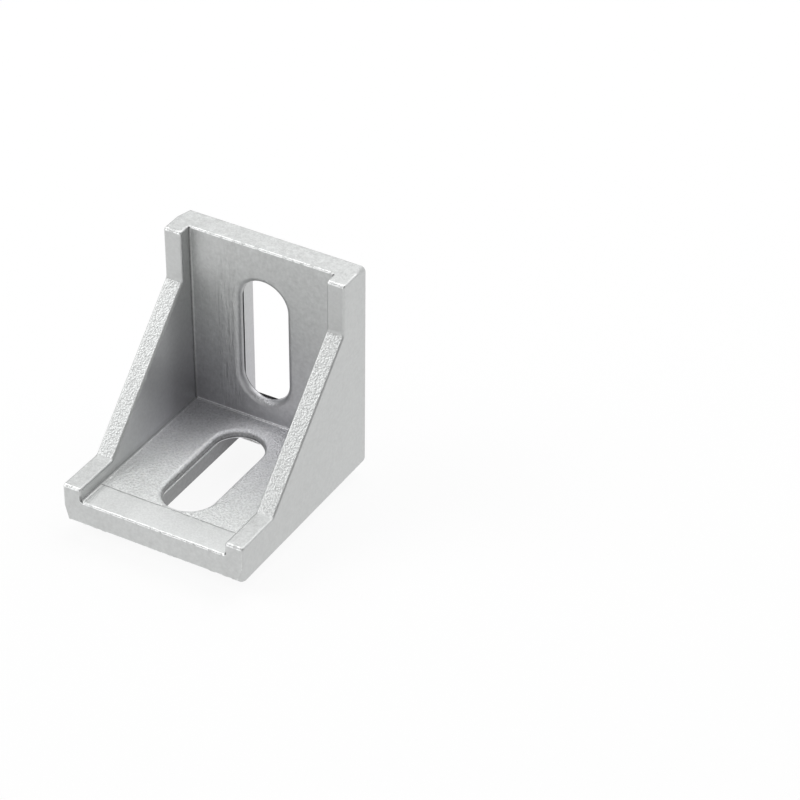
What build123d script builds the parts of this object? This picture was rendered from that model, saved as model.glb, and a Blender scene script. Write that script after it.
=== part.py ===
from build123d import *
import os
from math import radians, sqrt, tan

# Inside-corner bracket for slotted square profile: one die-cast aluminium piece. Millimetres, +Z up.
#
# The origin is the outer corner, where the two mating faces meet, at the middle of the width. One
# leg lies along +X with its mating face on z = 0, and the other stands along +Z with its mating
# face on x = 0. The legs mirror each other in the plane x = z, so each feature of a leg is drawn
# once, on the lying leg. Distances along a leg are measured from the outer corner.

# Legs
LEG_LENGTH = 40.0
WIDTH = 35.5  # at the free ends, where the mating faces stop
PLATE_THICKNESS = 4.7  # mating face to inner face
WEB_THICKNESS = 1.4  # what the pockets and the channel leave of the plate
MATING_CORNER_RADIUS = 0.8  # along the outer corner, between the two mating faces
END_EDGE_RADIUS = 0.5  # between a mating face and the end of its leg
END_CORNER_RADIUS = 1.8  # of an end's two upright corners, at the mating face
END_CORNER_HEIGHT = 3.6  # above the mating face, where those corners have tapered away
CORNER_OVERLAP = 0.04  # how far each corner's arc would bulge past the faces that it joins

# Gussets, whose tops run level along each end as a lip and then cross on the diagonal
GUSSET_THICKNESS = 3.5  # at the same place as WIDTH
LIP_HEIGHT = 7.2  # above the mating face
LIP_LENGTH = 9.9
LIP_END_RADIUS = 0.6
DIAGONAL_FOOT_RADIUS = 1.2  # where the lip turns into the diagonal
CAVITY_CORNER_RADIUS = 0.45  # where inner faces and gussets meet
EDGE_RADIUS = 0.4  # round the outline of each side, and round the opening between the gussets

# The die opens along the diagonal, and sides and gussets are drafted so that both halves let go:
# the casting gets wider away from the outer corner, and so does the space between the gussets.
OUTER_DRAFT = 0.8
CAVITY_DRAFT = 0.5

# Mating face: an outer rim, two ribs, a pocket outside each rib and a channel between them. Walls
# that face away from the outer corner lean with the draw.
DRAW_ANGLE = 51.5  # of a leaning wall, from square to the mating face
CORNER_RIM = 1.2
END_RIM = 2.6
SIDE_RIM = 3.4
RIB_THICKNESS = 2.5
CHANNEL_WIDTH = 9.6
POCKET_CORNER_RADIUS = 0.5
POCKET_SIDE_DRAFT = 4.0
POCKET_END_DRAFT = 20.0  # of a pocket's wall at the free end

# Locating lugs, which stand proud of the mating face at both ends of the channel
LUG_WIDTH = 8.0
LUG_HEIGHT = 2.3
LUG_SIDE_DRAFT = 9.0
LUG_EDGE_RADIUS = 0.3
CORNER_LUG_START = 1.15  # outer corner to the square face of the corner lug
CORNER_LUG_CREST = 1.1  # length of its flat top
END_LUG_SETBACK = 6.8  # free end to the square face of the end lug
END_LUG_CREST = 0.6  # length of its flat top

# Bolt slot, through the web between the channel and the inner face. It is a little wider than the
# drafted channel is there, which leaves a narrow step where the two halves of the die meet.
SLOT_WIDTH = 9.4
SLOT_OVERRUN = 0.45  # how far the slot reaches over the channel's leaning wall
SLOT_LEDGE = 0.15  # web left between the slot and the channel's wall at the free end
SLOT_MOUTH_RADIUS = 1.05

# How far a cutting tool reaches past the faces it cuts
MARGIN = 1.0

LEAN = tan(radians(DRAW_ANGLE))  # run of a leaning wall for each millimetre of depth
POCKET_DEPTH = PLATE_THICKNESS - WEB_THICKNESS
HALF_WIDTH = WIDTH / 2
HALF_CHANNEL = CHANNEL_WIDTH / 2
CORNER_LUG_TOP_END = CORNER_LUG_START + CORNER_LUG_CREST
CHANNEL_START = CORNER_LUG_TOP_END + LEAN * LUG_HEIGHT  # at the mating face
CHANNEL_END = LEG_LENGTH - END_LUG_SETBACK
SLOT_START = CHANNEL_START + LEAN * POCKET_DEPTH - SLOT_OVERRUN
SLOT_END = CHANNEL_END - SLOT_LEDGE

LEG_MIRROR = Plane(origin=(0, 0, 0), x_dir=(0, 1, 0), z_dir=(1, 0, -1))
DIAGONAL = Axis(origin=(0, 0, 0), direction=(1, 0, -1))
DRAFT_PLANE = Plane(origin=(LEG_LENGTH, 0, 0), x_dir=(0, 1, 0), z_dir=(1, 0, 1))


def on_both_sides(shape):
    """The shape and its mirror image across the middle of the width."""
    return shape + mirror(shape, about=Plane.XZ)


def on_both_legs(shape):
    """The shape, drawn on the lying leg, and its mirror image on the standing leg."""
    return shape + mirror(shape, about=LEG_MIRROR)


def block_between(near, far):
    """A flat-sided block between two rectangles, each (height, x start, x end, y start, y end)."""
    corners = []
    for height, x_start, x_end, y_start, y_end in (near, far):
        corners += [(x, y, height) for x in (x_start, x_end) for y in (y_start, y_end)]
    return ConvexPolyhedron(corners)


def drafted_block(start, end, width, angle):
    """A square block along both legs whose drafted sides are `width` apart where the legs' ends meet."""
    block = Pos((start + end) / 2, 0, (start + end) / 2) * Box(end - start, width, end - start)
    return draft(block.faces().filter_by(Axis.Y), DRAFT_PLANE, -angle)


def gusset_block():
    """Both legs and both gussets as one solid block in the gussets' side profile."""
    corners = {
        (0, 0): MATING_CORNER_RADIUS,
        (LEG_LENGTH, 0): END_EDGE_RADIUS,
        (LEG_LENGTH, LIP_HEIGHT): LIP_END_RADIUS,
        (LEG_LENGTH - LIP_LENGTH, LIP_HEIGHT): DIAGONAL_FOOT_RADIUS,
        (LIP_HEIGHT, LEG_LENGTH - LIP_LENGTH): DIAGONAL_FOOT_RADIUS,
        (LIP_HEIGHT, LEG_LENGTH): LIP_END_RADIUS,
        (0, LEG_LENGTH): END_EDGE_RADIUS,
    }
    outline = FilletPolyline(*corners, radius=list(corners.values()), close=True)
    block = extrude(Plane.XZ * make_face(outline), amount=WIDTH, both=True)
    return block & drafted_block(-MARGIN, LEG_LENGTH + MARGIN, WIDTH, OUTER_DRAFT)


def cavity():
    """The space between the gussets, above the inner face of each leg."""
    end = LEG_LENGTH + CAVITY_CORNER_RADIUS + MARGIN
    space = drafted_block(PLATE_THICKNESS, end, WIDTH - 2 * GUSSET_THICKNESS, CAVITY_DRAFT)
    return fillet(space.edges(), CAVITY_CORNER_RADIUS)


def round_outlines(body):
    """Rounds the outline of each side and of the opening, four smooth loops that cross the diagonal."""
    return fillet(body.edges().filter_by(DIAGONAL), EDGE_RADIUS)


def end_corner_trim():
    """What rounds one upright corner of the lying leg's end, less and less above the mating face."""
    taper = (END_CORNER_RADIUS - EDGE_RADIUS / 2) / END_CORNER_HEIGHT
    side_slope = tan(radians(OUTER_DRAFT)) / sqrt(2)

    def section(height):
        radius = END_CORNER_RADIUS - taper * height
        side_y = HALF_WIDTH + side_slope * (height - radius)
        centre_x = LEG_LENGTH - radius + CORNER_OVERLAP
        centre_y = side_y - radius + CORNER_OVERLAP
        outside = Pos(centre_x, centre_y) * Rectangle(WIDTH, WIDTH, align=Align.MIN)
        return Pos(0, 0, height) * (outside - Pos(centre_x, centre_y) * Circle(radius))

    return loft([section(-MARGIN), section(END_CORNER_HEIGHT)])


def hollow(x_start, x_end, y_start, y_end, end_draft):
    """A recess in the mating face, given by its outline there, with one leaning wall and three drafted."""
    end_run = tan(radians(end_draft))
    side_run = tan(radians(POCKET_SIDE_DRAFT))

    def section(height):
        x_near = x_start + LEAN * height
        x_far = x_end - end_run * height
        return (height, x_near, x_far, y_start + side_run * height, y_end - side_run * height)

    block = block_between(section(-MARGIN), section(POCKET_DEPTH))
    upright_edges = block.edges().filter_by(Plane.XY, reverse=True)
    return fillet(upright_edges, POCKET_CORNER_RADIUS)


def side_pocket():
    """The pocket between one rib and the rim along one side."""
    rib_side = HALF_CHANNEL + RIB_THICKNESS
    rim_side = HALF_WIDTH - SIDE_RIM
    return hollow(CORNER_RIM, LEG_LENGTH - END_RIM, rib_side, rim_side, POCKET_END_DRAFT)


def channel():
    """The channel between the ribs, which the bolt slot opens into."""
    return hollow(CHANNEL_START, CHANNEL_END, -HALF_CHANNEL, HALF_CHANNEL, 0)


def bolt_slot():
    """The obround cut through the web, square to the leg."""
    outline = SlotOverall(SLOT_END - SLOT_START, SLOT_WIDTH)
    middle = (SLOT_START + SLOT_END) / 2
    return extrude(Pos(middle, 0, POCKET_DEPTH) * outline, amount=WEB_THICKNESS + MARGIN)


def lug(base_start, base_end, top_start, top_end):
    """A locating lug on the mating face, from where its base and its top start and end."""
    half_base = LUG_WIDTH / 2
    half_top = half_base - LUG_HEIGHT * tan(radians(LUG_SIDE_DRAFT))
    block = block_between(
        (0, base_start, base_end, -half_base, half_base),
        (-LUG_HEIGHT, top_start, top_end, -half_top, half_top),
    )
    base_face = block.faces().sort_by(Axis.Z)[-1]
    return fillet(block.edges() - base_face.edges(), LUG_EDGE_RADIUS)


def lugs():
    """The lugs at both ends of the channel, each leaning on the side that faces away from the corner."""
    corner_lug = lug(CORNER_LUG_START, CHANNEL_START, CORNER_LUG_START, CORNER_LUG_TOP_END)
    end_lug_top = CHANNEL_END + END_LUG_CREST
    end_lug = lug(CHANNEL_END, end_lug_top + LEAN * LUG_HEIGHT, CHANNEL_END, end_lug_top)
    return corner_lug + end_lug


def round_slot_mouths(body):
    """Rounds the rim of each bolt slot where it opens on its leg's inner face."""
    for inward in (Vector(1, 0, 0), Vector(0, 0, 1)):
        slotted = body.faces().filter_by(lambda face: face.inner_wires())
        inner_face = slotted.sort_by(lambda face: face.normal_at().dot(inward))[-1]
        body = fillet(inner_face.inner_wires()[0].edges(), SLOT_MOUTH_RADIUS)
    return body


def corner_bracket():
    body = round_outlines(gusset_block() - cavity())
    body -= on_both_legs(on_both_sides(end_corner_trim()))
    body -= on_both_legs(on_both_sides(side_pocket()) + channel())
    body += on_both_legs(lugs())
    body -= on_both_legs(bolt_slot())
    return round_slot_mouths(body)


os.makedirs("parts", exist_ok=True)
export_step(corner_bracket(), "parts/corner_bracket.step")
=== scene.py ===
from math import cos, pi, radians, sin

import bpy
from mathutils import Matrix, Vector

# Sizes are in metres and angles in degrees. An azimuth of 0 is from -Y.

# Camera: where it looks from, and the point that is in the middle of the picture
VIEW_AZIMUTH = 120.42
VIEW_ELEVATION = 35.48
VIEW_DISTANCE = 0.6880
VIEW_CENTRE = (-0.01337, 0.01635, 0.00398)
LENS = 178.2

# Floor and backdrop
FLOOR_HEIGHT = -0.0023  # where the lugs under the lying leg rest
FLOOR_RADIUS = 1.3
FLOOR_SIDES = 96
BACKDROP_CURVE = 0.15  # radius of the bend between the floor and the backdrop
BACKDROP_STEPS = 8
BACKDROP_HEIGHT = 0.32
FLOOR_COLOUR = (0.9, 0.9, 0.9)
FLOOR_WHITENESS = 0.9  # how far the floor that the camera sees is plain white, without the shadow

# Lamps: azimuth, elevation, distance from the bracket, size, power (watts)
LAMPS = {
    "left": (25, 40, 0.9, 0.60, 3.8),
    "right": (235, 52, 0.9, 0.90, 3.5),
    "back": (287, 60, 0.9, 0.70, 2.8),
}
LAMP_TARGET = (0.013, 0, 0.013)  # the middle of the bracket
WORLD_LIGHT = 0.3

# Metal
METAL_COLOUR = (0.613, 0.622, 0.618)
DEEP_COLOUR = (0.612, 0.612, 0.630)  # in the inner corner, a little bluish
SMOOTH_ROUGHNESS = 0.48

# Noise patterns in the metal's skin: size across, detail, roughness
COARSE_SIZE = 0.00033
COARSE_NOISE = (COARSE_SIZE, 3.0, 0.6)
FINE_NOISE = (0.00040, 2.0, 0.6)
SKIN_NOISE = (0.0006, 3.0, 0.55)
PATCH_NOISE = (0.0012, 3.0, 0.6)
RIPPLE_NOISE = (0.0005, 3.0, 0.6)
RIPPLE_STRETCH = (6, 1, 6)  # how much longer the ripples are along each axis
WAVE_NOISE = (0.0030, 2.0, 0.55)
CREASE_NOISE = (0.0040, 2.0, 0.55)
NOISE_MIDDLE = 0.5

# Heights and depths of the relief
COARSE_HEIGHT = 0.000042
FINE_HEIGHT = 0.00022
CREASE_DEPTH = 0.00008
RIPPLE_HEIGHT = 0.00020
DENT_HEIGHT = 0.00015
WAVE_HEIGHT = 0.00004
SKIN_HEIGHT = 0.000016

# Crease across the lying leg's inner face
CREASE_X = 0.0342
CREASE_WANDER = 0.0004  # how far it strays from a straight line

# Masks: where each starts and where it is full. Cosines of the angle to a direction, or parts of
# the normal along an axis:
FLAT = (0.965, 0.99)
SLOPING = (0.90, 0.96)
FACING = (0.80, 0.95)
MATING = (0.80, 0.92)
TILTED = (0.15, 0.40)
SIDEWAYS = (0.3, 0.7)
ONE_SIDE = (0.5, 0.9)
NOT_BACKWARD = (-0.1, 0.1)
# Heights over the nearer of the two mating faces, from the lowest up:
LEDGE_BOTTOM, LEDGE_TOP = (0.00320, 0.00328), (0.00350, 0.00338)
POCKET_TOP = (0.0036, 0.0033)
THROAT_BOTTOM, THROAT_TOP = (0.0033, 0.0036), (0.0045, 0.0041)
MOUTH_BOTTOM = (0.0034, 0.0040)
SLOT_TOP = (0.00469, 0.00462)
INNER_FACE_BOTTOM, INNER_FACE_TOP = (0.00465, 0.0048), (0.0062, 0.0055)
CLEAR_OF_INNER_FACE = (0.0055, 0.0062)
# Heights over one mating face:
ON_INNER_FACE = (0.0060, 0.0052)
OVER_INNER_FACE = (0.0060, 0.0068)
# Distances along a leg from the outer corner:
SLOT_START, SLOT_END = (0.0060, 0.0065), (0.0362, 0.0358)
BEHIND_CREASE = (CREASE_X, 0.0340)
AT_END_FACE = (0.0380, 0.0390)
AT_END_EDGES = (0.0390, 0.0395)
MIDDLE_FLOOR_START, MIDDLE_FLOOR_END = (0.007, 0.016), (0.028, 0.020)
FRONT_FLOOR = (0.027, 0.031)
GUSSET_ROOT = (0.016, 0.006)
GUSSET_SIDE = (0.010, 0.014)
LYING_LEG = (0.0, 0.0005)  # how much further out than up
IN_CORNER = (0.038, 0.012)  # out and up together
# Distances from the middle of the width, to both sides:
BETWEEN_GUSSETS = (0.0150, 0.0146)
SLOT_WIDTH = (0.0064, 0.0060)
# Places along Y:
BESIDE_SLOT_START, BESIDE_SLOT_END = (-0.0098, -0.0075), (-0.0042, -0.0050)
MIDDLE_FLOOR_SIDE = (0.008, -0.004)
FRONT_FLOOR_SIDE = (-0.003, -0.008)
# Distance from the crease, and values of the patterns; the last is where the painted highlight along the
# front edges shows, in patches:
CREASE_WIDTH = (0.00014, 0.00004)
PITTED = (0.05, -0.25)
EDGE_HIGHLIGHT_PATCHES = (0.36, 0.52)

# Coarse grains: domes of this height in grains, and how much noise is laid over them
DOME_HEIGHT = 0.4
DOME_UNEVENNESS = 1.2

# What each area adds to the strength of a pattern, to the tone and to the roughness. A tone of 1 is
# METAL_COLOUR. The tones of the floor's middle and front, the crease, the edges, fillets, slots,
# pockets, gussets and inner corner are painted highlights and painted shade.
COARSE_SHARES = {"tops": 0.35, "smooth floor": 0.25}
PIT_SHARES = {"mating": -0.55}
RIPPLE_SHARES = {"wall": 0.20, "beside slot": 0.60}
BLOTCH_SHARES = {"end": 0.14, "tops": 0.30, "wall": 0.20}
BASE_BLOTCH_SHARE = 0.08
TONES = {
    "slope": 0.17,
    "mating": 0.24,
    "tops": 0.08,
    "fine": 0.36,
    "smooth floor": 0.22,
    # painted reflected light on the middle of the floor, and painted shade on its front strip
    "middle floor": 0.22,
    "front floor": -0.13,
    # painted shade along the crease, over its real groove
    "crease": -0.50,
    # painted highlight along the front edges, in patches
    "highlit edges": 0.60,
    # painted shade on the rounded edges that face to either side
    "side edges": -0.05,
    # painted shade in the fillets between the inner faces and the gussets
    "upright fillets": -0.45,
    "lying fillets": -0.20,
    # painted highlight along the fillet between the wall and the floor
    "cross fillet": 0.60,
    # painted highlight on the rim of the lying slot's mouth
    "mouth": 0.15,
    # painted shade in the lying slot's throat
    "throat": -0.75,
    # painted highlight on the lying slot's ledge, and painted shade on the upright slot's ledge
    "ledge": 0.80,
    "upright ledge": -0.70,
    # painted shade on the lying leg's pocket walls, and painted light on the upright leg's
    "lying pocket": -0.50,
    "upright pocket": 0.15,
    # painted shade at the root of the gusset's inner face, and painted light further out on it
    "gusset roots": -0.16,
    "gusset sides": 0.09,
    # painted shade in the inner corner, which also gets DEEP_COLOUR's bluish tint
    "deep": -0.08,
}
ROUGHNESSES = {
    "coarse": 0.04,
    "tops": 0.08,
    "fine": 0.10,
    "cross fillet": -0.28,
    "front edges": -0.12,
}
SKIN_TONE = 0.15
RIPPLE_TONE = 0.30
PIT_TONE = -0.24
FINE_GRAIN_TONE = 0.7


def direction(azimuth, elevation):
    """The direction from which a camera or a lamp looks."""
    turn, rise = radians(azimuth), radians(elevation)
    return Vector((sin(turn) * cos(rise), -cos(turn) * cos(rise), sin(rise)))


def add_camera():
    """Puts the camera at the photograph's angle, with the bracket left of the middle of the picture."""
    towards_camera = direction(VIEW_AZIMUTH, VIEW_ELEVATION)
    camera = bpy.data.objects.new("camera", bpy.data.cameras.new("camera"))
    camera.data.lens = LENS
    camera.location = Vector(VIEW_CENTRE) + towards_camera * VIEW_DISTANCE
    camera.rotation_euler = towards_camera.to_track_quat("Z", "Y").to_euler()
    bpy.context.scene.collection.objects.link(camera)
    bpy.context.scene.camera = camera


def add_lamp(name, azimuth, elevation, distance, size, power):
    """A square area lamp that faces the middle of the bracket."""
    lamp = bpy.data.objects.new(name, bpy.data.lights.new(name, "AREA"))
    lamp.data.size = size
    lamp.data.energy = power
    towards_lamp = direction(azimuth, elevation)
    lamp.location = Vector(LAMP_TARGET) + towards_lamp * distance
    lamp.rotation_euler = towards_lamp.to_track_quat("Z", "Y").to_euler()
    bpy.context.scene.collection.objects.link(lamp)


def add_world():
    """Plain soft light from all round."""
    world = bpy.data.worlds.new("world")
    world.use_nodes = True
    light = world.node_tree.nodes["Background"]
    light.inputs["Color"].default_value = (1, 1, 1, 1)
    light.inputs["Strength"].default_value = WORLD_LIGHT
    bpy.context.scene.world = world


class Nodes:
    """A material's node tree, with short ways to add nodes and to do sums with them."""

    def __init__(self, tree):
        self.tree = tree

    def add(self, kind, settings=None, **inputs):
        node = self.tree.nodes.new(kind)
        for name, value in (settings or {}).items():
            setattr(node, name, value)
        for name, value in inputs.items():
            self.put(node.inputs[name.replace("_", " ")], value)
        return node

    def put(self, socket, value):
        """Links the socket to VALUE, or sets it where VALUE is plain."""
        if isinstance(value, bpy.types.NodeSocket):
            self.tree.links.new(value, socket)
        else:
            socket.default_value = value

    def math(self, operation, *values):
        node = self.tree.nodes.new("ShaderNodeMath")
        node.operation = operation
        for socket, value in zip(node.inputs, values):
            self.put(socket, value)
        return node.outputs[0]

    def product(self, first, *others):
        for other in others:
            first = self.math("MULTIPLY", first, other)
        return first

    def largest(self, first, *others):
        for other in others:
            first = self.math("MAXIMUM", first, other)
        return first

    def rest_of(self, mask):
        """1 where the mask is 0, and 0 where it is 1."""
        return self.math("SUBTRACT", 1.0, mask)

    def total(self, start, *weighted):
        """START plus the sum of the (amount, weight) pairs."""
        for amount, weight in weighted:
            start = self.math("MULTIPLY_ADD", amount, weight, start)
        return start

    def ramp(self, value, limits):
        """0 on the outer side of the first limit, 1 beyond the second and a smooth step between."""
        node = self.add("ShaderNodeMapRange", {"interpolation_type": "SMOOTHSTEP"}, Value=value)
        node.inputs["From Min"].default_value, node.inputs["From Max"].default_value = limits
        return node.outputs[0]

    def band(self, value, start, end):
        """1 between two ramps, of which the second comes down again."""
        return self.product(self.ramp(value, start), self.ramp(value, end))


class Skin:
    """What the patterns and masks of the metal go by: where each point is and which way it faces."""

    def __init__(self, nodes):
        self.nodes = nodes
        coordinates = nodes.add("ShaderNodeTexCoord").outputs
        self.place, self.normal = coordinates["Object"], coordinates["Normal"]
        where = nodes.add("ShaderNodeSeparateXYZ", Vector=self.place).outputs
        self.x, self.y, self.z = where["X"], where["Y"], where["Z"]
        tilt = nodes.add("ShaderNodeSeparateXYZ", Vector=self.normal).outputs
        self.tilt_x, self.tilt_y, self.tilt_z = tilt["X"], tilt["Y"], tilt["Z"]

        self.height = nodes.math("MINIMUM", self.x, self.z)  # over the nearer mating face
        self.distance = nodes.math("MAXIMUM", self.x, self.z)  # along the leg
        self.from_middle = nodes.math("ABSOLUTE", self.y)
        self.aside = nodes.math("ABSOLUTE", self.tilt_y)  # how far the skin faces to either side

        self.inside = nodes.ramp(self.from_middle, BETWEEN_GUSSETS)
        self.lying = nodes.ramp(nodes.math("SUBTRACT", self.x, self.z), LYING_LEG)
        self.upright = nodes.rest_of(self.lying)
        self.mating = nodes.largest(self.facing((-1, 0, 0), MATING), self.facing((0, 0, -1), MATING))
        # The floor is the lying leg's inner face, and the wall is the standing leg's.
        self.floor = nodes.product(self.facing((0, 0, 1), FACING), nodes.ramp(self.z, ON_INNER_FACE))
        self.wall = nodes.product(self.facing((1, 0, 0), FACING), nodes.ramp(self.x, ON_INNER_FACE))

    def facing(self, axis, limits):
        """1 where the skin faces along AXIS, as its cosine passes the limits."""
        product = self.nodes.add("ShaderNodeVectorMath", {"operation": "DOT_PRODUCT"})
        self.nodes.put(product.inputs[0], self.normal)
        self.nodes.put(product.inputs[1], Vector(axis).normalized())
        return self.nodes.ramp(product.outputs["Value"], limits)

    def in_grains(self, size, stretch=(1, 1, 1)):
        """The place of each point, in grains of SIZE metres times the stretch along each axis."""
        spread = self.nodes.add("ShaderNodeVectorMath", {"operation": "DIVIDE"})
        self.nodes.put(spread.inputs[0], self.place)
        self.nodes.put(spread.inputs[1], Vector(stretch) * size)
        return spread.outputs[0]

    def noise(self, size, detail, roughness, stretch=(1, 1, 1)):
        place = self.in_grains(size, stretch)
        settings = {"Scale": 1.0, "Detail": detail, "Roughness": roughness}
        return self.nodes.add("ShaderNodeTexNoise", Vector=place, **settings).outputs[0]

    def uneven(self, *pattern):
        """The same noise, but around 0."""
        return self.nodes.math("SUBTRACT", self.noise(*pattern), NOISE_MIDDLE)

    def from_grain(self, size):
        """The distance, in grains, from the middle of the nearest of many grains."""
        grains = self.nodes.add("ShaderNodeTexVoronoi", Vector=self.in_grains(size), Scale=1.0)
        return grains.outputs["Distance"]


def face_areas(skin):
    """Masks, from 0 to 1, of the outer faces and of the wall."""
    nodes = skin.nodes
    beside_slot = nodes.band(skin.y, BESIDE_SLOT_START, BESIDE_SLOT_END)
    return {
        "slope": skin.facing((1, 0, 1), SLOPING),
        "mating": skin.mating,
        "tops": nodes.product(skin.facing((0, 0, 1), FACING), nodes.ramp(skin.z, OVER_INNER_FACE)),
        "end": nodes.product(skin.facing((1, 0, 0), FACING), nodes.ramp(skin.x, AT_END_FACE)),
        "wall": skin.wall,
        "beside slot": nodes.product(skin.wall, beside_slot),
    }


def edge_areas(skin):
    """Masks of the rounded edges, and of the fillets between the inner faces and the gussets, which get
    painted highlights and painted shade.
    """
    nodes = skin.nodes
    sides = ((0, 1, 0), (0, -1, 0), (1, 0, 0), (-1, 0, 0), (0, 0, 1), (0, 0, -1), (1, 0, 1))
    rounded = nodes.rest_of(nodes.largest(*(skin.facing(side, FLAT) for side in sides)))
    sideways = nodes.ramp(skin.aside, TILTED)
    lengthways = nodes.rest_of(sideways)
    forward = nodes.ramp(skin.tilt_x, TILTED)
    upward = nodes.ramp(skin.tilt_z, TILTED)

    at_end = nodes.ramp(skin.distance, AT_END_EDGES)
    outer = nodes.product(rounded, nodes.largest(nodes.ramp(skin.height, CLEAR_OF_INNER_FACE), at_end))
    at_inner_face = nodes.band(skin.height, INNER_FACE_BOTTOM, INNER_FACE_TOP)
    fillets = nodes.product(rounded, at_inner_face, skin.inside)
    side_fillets = nodes.product(fillets, sideways)
    return {
        "front edges": nodes.product(rounded, at_end, lengthways, nodes.ramp(skin.tilt_x, NOT_BACKWARD)),
        "side edges": nodes.product(outer, sideways),
        "upright fillets": nodes.product(side_fillets, forward),
        "lying fillets": nodes.product(side_fillets, upward),
        "cross fillet": nodes.product(fillets, lengthways, forward, upward),
    }


def slot_areas(skin):
    """Masks of the bolt slots' mouths, of the throats below them and of the narrow ledges at their foot,
    which get painted highlights and painted shade.
    """
    nodes = skin.nodes
    width = nodes.ramp(skin.from_middle, SLOT_WIDTH)
    length = nodes.band(skin.distance, SLOT_START, SLOT_END)
    walls = nodes.product(width, length, nodes.rest_of(skin.mating), nodes.ramp(skin.height, SLOT_TOP))
    lying_walls = nodes.product(walls, skin.lying)
    ledge = nodes.band(skin.height, LEDGE_BOTTOM, LEDGE_TOP)
    return {
        "mouth": nodes.product(lying_walls, nodes.ramp(skin.height, MOUTH_BOTTOM)),
        "throat": nodes.product(lying_walls, nodes.band(skin.height, THROAT_BOTTOM, THROAT_TOP)),
        "ledge": nodes.product(lying_walls, ledge),
        "upright ledge": nodes.product(walls, ledge, skin.upright),
    }


def floor_areas(skin, mouth):
    """Masks of the floor, which has a fine grain up to a crease and is smooth beyond, and of the crease and
    the floor's front, which get painted shade, and its middle, which gets painted reflected light.
    """
    nodes = skin.nodes
    behind_crease = nodes.ramp(skin.x, BEHIND_CREASE)
    wander = nodes.product(skin.noise(*CREASE_NOISE), CREASE_WANDER)
    to_crease = nodes.math("SUBTRACT", nodes.math("ADD", skin.x, wander), CREASE_X)
    crease = nodes.ramp(nodes.math("ABSOLUTE", to_crease), CREASE_WIDTH)
    middle = nodes.band(skin.x, MIDDLE_FLOOR_START, MIDDLE_FLOOR_END)
    front = nodes.ramp(skin.x, FRONT_FLOOR)
    return {
        "fine": nodes.product(nodes.largest(skin.floor, mouth), behind_crease),
        "smooth floor": nodes.product(skin.floor, nodes.rest_of(behind_crease)),
        "crease": nodes.product(crease, skin.floor),
        "middle floor": nodes.product(skin.floor, middle, nodes.ramp(skin.y, MIDDLE_FLOOR_SIDE)),
        "front floor": nodes.product(skin.floor, front, nodes.ramp(skin.y, FRONT_FLOOR_SIDE)),
    }


def hollow_areas(skin):
    """Masks of the pockets' side walls, of the inner corner and of the gusset that shows beside it, which
    get painted shade and painted light.
    """
    nodes = skin.nodes
    in_pocket = nodes.ramp(skin.height, POCKET_TOP)
    pocket = nodes.product(in_pocket, skin.inside, nodes.ramp(skin.aside, SIDEWAYS))
    gusset = nodes.product(nodes.ramp(skin.tilt_y, ONE_SIDE), skin.inside)
    above_floor = nodes.ramp(skin.height, CLEAR_OF_INNER_FACE)
    return {
        "lying pocket": nodes.product(pocket, skin.lying),
        "upright pocket": nodes.product(pocket, skin.upright),
        "gusset roots": nodes.product(gusset, nodes.ramp(skin.x, GUSSET_ROOT)),
        "gusset sides": nodes.product(gusset, nodes.ramp(skin.x, GUSSET_SIDE), above_floor),
        "deep": nodes.product(nodes.ramp(nodes.math("ADD", skin.x, skin.z), IN_CORNER), skin.inside),
    }


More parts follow.
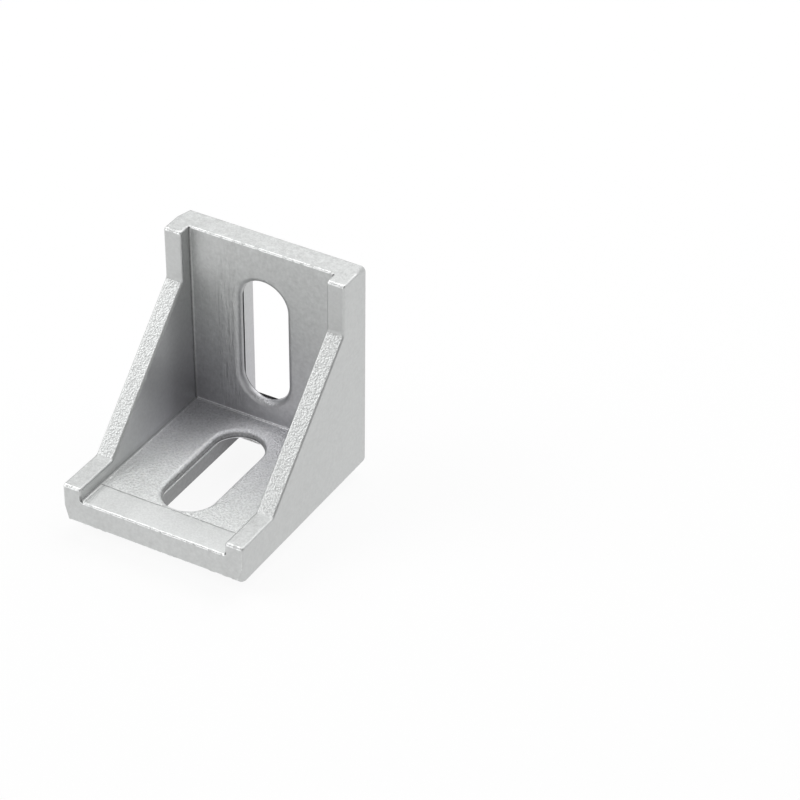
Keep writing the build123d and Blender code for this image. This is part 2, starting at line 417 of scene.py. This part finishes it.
def metal_material():
    """Die-cast aluminium: smooth skin, with coarse and fine grain on the areas that have it, and painted
    highlights and painted shade in its tone.
    """
    material = bpy.data.materials.new("cast aluminium")
    material.use_nodes = True
    nodes = Nodes(material.node_tree)
    shader = material.node_tree.nodes["Principled BSDF"]
    shader.inputs["Metallic"].default_value = 1
    skin = Skin(nodes)
    area = {**face_areas(skin), **edge_areas(skin), **slot_areas(skin), **hollow_areas(skin)}
    area.update(floor_areas(skin, area["mouth"]))

    def shared(shares, start=0.0):
        """START plus each area's share."""
        return nodes.total(start, *((area[name], share) for name, share in shares.items()))

    area["coarse"] = shared(COARSE_SHARES, nodes.largest(area["slope"], area["mating"]))
    patches = skin.noise(*PATCH_NOISE)
    # Painted highlight along the front edges, in patches of the noise
    area["highlit edges"] = nodes.product(area["front edges"], nodes.ramp(patches, EDGE_HIGHLIGHT_PATCHES))

    domes = nodes.math("SUBTRACT", DOME_HEIGHT, skin.from_grain(COARSE_SIZE))
    coarse = nodes.total(domes, (skin.uneven(*COARSE_NOISE), DOME_UNEVENNESS))
    pits = nodes.product(nodes.ramp(coarse, PITTED), shared(PIT_SHARES, area["coarse"]))
    fine_grain = nodes.product(skin.uneven(*FINE_NOISE), area["fine"])
    fine_skin = skin.uneven(*SKIN_NOISE)
    ripples = nodes.product(skin.uneven(*RIPPLE_NOISE, RIPPLE_STRETCH), shared(RIPPLE_SHARES))
    uneven_patches = nodes.math("SUBTRACT", patches, NOISE_MIDDLE)
    blotches = nodes.product(uneven_patches, shared(BLOTCH_SHARES, BASE_BLOTCH_SHARE))

    relief = nodes.total(
        0.0,
        (nodes.product(coarse, area["coarse"]), COARSE_HEIGHT),
        (fine_grain, FINE_HEIGHT),
        (skin.noise(*WAVE_NOISE), WAVE_HEIGHT),
        (fine_skin, SKIN_HEIGHT),
        (area["crease"], -CREASE_DEPTH),
        (ripples, RIPPLE_HEIGHT),
        (nodes.product(fine_skin, area["front edges"]), DENT_HEIGHT),
    )
    # The tone adds the painted highlights and painted shade of TONES to the grain, pits and blotches
    tone = nodes.total(
        shared(TONES, 1.0),
        (fine_skin, SKIN_TONE),
        (ripples, RIPPLE_TONE),
        (blotches, 1.0),
        (pits, PIT_TONE),
        (fine_grain, FINE_GRAIN_TONE),
    )
    colour = nodes.add("ShaderNodeMix", {"data_type": "VECTOR"})
    share, first, second = 0, 4, 5  # the node's sockets for vectors, whose names are not unique
    nodes.put(colour.inputs[share], area["deep"])
    nodes.put(colour.inputs[first], METAL_COLOUR)
    nodes.put(colour.inputs[second], DEEP_COLOUR)
    tint = nodes.add("ShaderNodeVectorMath", {"operation": "SCALE"})
    nodes.put(tint.inputs[0], colour.outputs[1])
    nodes.put(tint.inputs["Scale"], tone)

    nodes.put(shader.inputs["Base Color"], tint.outputs[0])
    nodes.put(shader.inputs["Roughness"], shared(ROUGHNESSES, SMOOTH_ROUGHNESS))
    nodes.put(shader.inputs["Normal"], nodes.add("ShaderNodeBump", Height=relief, Distance=1.0).outputs[0])
    return material


def seen_directly(nodes):
    """1 where the camera, or a reflection, sees a surface, and 0 where the surface only lights others."""
    path = nodes.add("ShaderNodeLightPath").outputs
    return nodes.largest(path["Is Camera Ray"], path["Is Glossy Ray"], path["Is Transmission Ray"])


def floor_material():
    """Pale floor that looks nearly white but keeps the bracket's shadow."""
    material = bpy.data.materials.new("floor")
    material.use_nodes = True
    nodes = Nodes(material.node_tree)
    paint = nodes.add("ShaderNodeBsdfDiffuse", Color=(*FLOOR_COLOUR, 1))
    white = nodes.add("ShaderNodeEmission", Color=(1, 1, 1, 1), Strength=1.0)
    whiteness = nodes.product(seen_directly(nodes), FLOOR_WHITENESS)
    mix = nodes.add("ShaderNodeMixShader", Fac=whiteness)
    nodes.put(mix.inputs[1], paint.outputs[0])
    nodes.put(mix.inputs[2], white.outputs[0])
    nodes.put(material.node_tree.nodes["Material Output"].inputs["Surface"], mix.outputs[0])
    return material


def add_floor():
    """A round floor that curves up at its edge into a low backdrop."""
    section = [(FLOOR_RADIUS, 0.0)]
    for step in range(1, BACKDROP_STEPS + 1):
        turn = radians(90 * step / BACKDROP_STEPS)
        section.append((FLOOR_RADIUS + BACKDROP_CURVE * sin(turn), BACKDROP_CURVE * (1 - cos(turn))))
    section.append((FLOOR_RADIUS + BACKDROP_CURVE, BACKDROP_HEIGHT))
    points, faces = [(0.0, 0.0, FLOOR_HEIGHT)], []
    for ring, (radius, rise) in enumerate(section):
        for side in range(FLOOR_SIDES):
            turn = 2 * pi * side / FLOOR_SIDES
            points.append((radius * cos(turn), radius * sin(turn), FLOOR_HEIGHT + rise))
            here = 1 + ring * FLOOR_SIDES + side
            beside = 1 + ring * FLOOR_SIDES + (side + 1) % FLOOR_SIDES
            if ring == 0:
                faces.append((0, here, beside))
            else:
                faces.append((here - FLOOR_SIDES, here, beside, beside - FLOOR_SIDES))
    mesh = bpy.data.meshes.new("floor")
    mesh.from_pydata(points, [], faces)
    mesh.shade_smooth()
    mesh.materials.append(floor_material())
    floor = bpy.data.objects.new("floor", mesh)
    bpy.context.scene.collection.objects.link(floor)


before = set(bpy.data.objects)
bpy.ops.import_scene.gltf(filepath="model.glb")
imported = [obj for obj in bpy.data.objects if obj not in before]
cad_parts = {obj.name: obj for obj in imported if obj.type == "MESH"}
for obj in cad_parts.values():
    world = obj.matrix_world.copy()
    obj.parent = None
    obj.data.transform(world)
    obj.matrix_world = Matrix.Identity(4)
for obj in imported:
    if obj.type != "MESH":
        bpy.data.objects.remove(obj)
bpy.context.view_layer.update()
metal = metal_material()
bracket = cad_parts["corner_bracket"]
for slot in bracket.material_slots:
    slot.material = metal
add_floor()
add_camera()
for name, lamp in LAMPS.items():
    add_lamp(name, *lamp)
add_world()
bpy.context.scene.view_settings.view_transform = "Standard"
